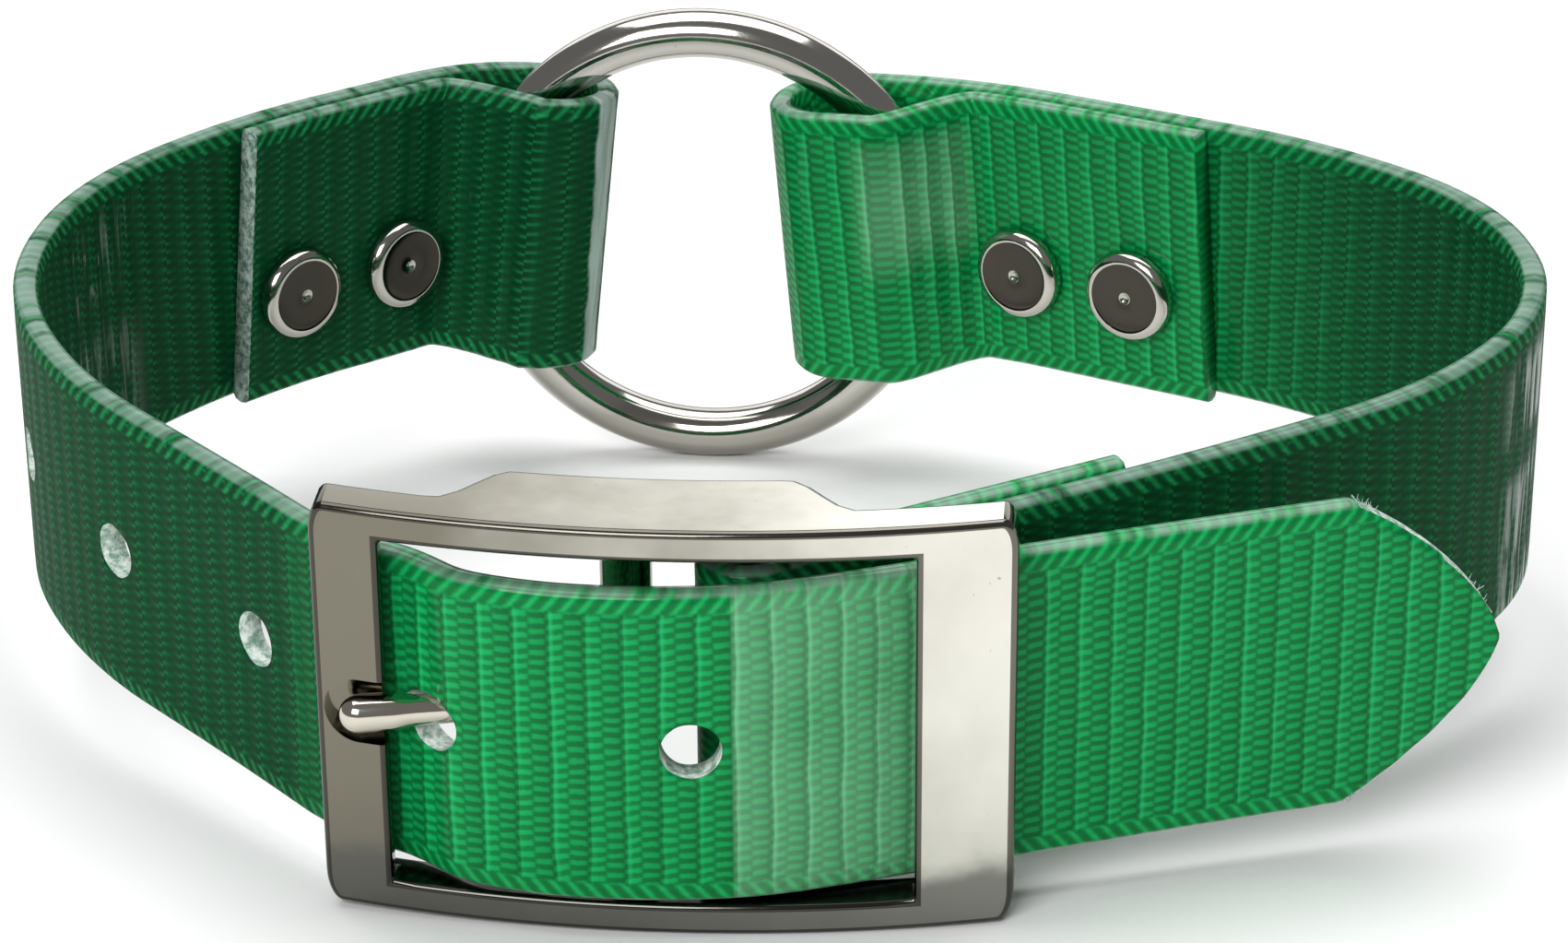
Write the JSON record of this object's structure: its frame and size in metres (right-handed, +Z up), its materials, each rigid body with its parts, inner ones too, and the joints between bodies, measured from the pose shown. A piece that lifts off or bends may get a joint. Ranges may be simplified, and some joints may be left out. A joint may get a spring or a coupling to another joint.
{
  "type": "dog collar",
  "caption": "Buckled dog collar of coated webbing with punched holes, an arched metal frame buckle with a tongue, and a round centre ring held in riveted strap loops.",
  "frame": {"origin": "centre of the bounding box, at the height of the surface the collar rests on", "axes": "+Z up, the buckle at the front on the -Y side, the ring at the back on the +Y side, +X to the right as seen from the buckle's front"},
  "size_m": [0.1242, 0.1098, 0.0436],
  "materials": {
    "webbing": "clear coating over woven green webbing",
    "nickel": "polished nickel plate"
  },
  "bodies": {
    "root": {"strap_long": "webbing", "strap_short": "webbing", "ring": "nickel", "buckle_frame": "nickel", "buckle_tongue": "nickel", "rivet_long_1": "nickel", "rivet_long_2": "nickel", "rivet_short_1": "nickel", "rivet_short_2": "nickel", "rivet_buckle_1": "nickel", "rivet_buckle_2": "nickel"}
  },
  "joints": []
}
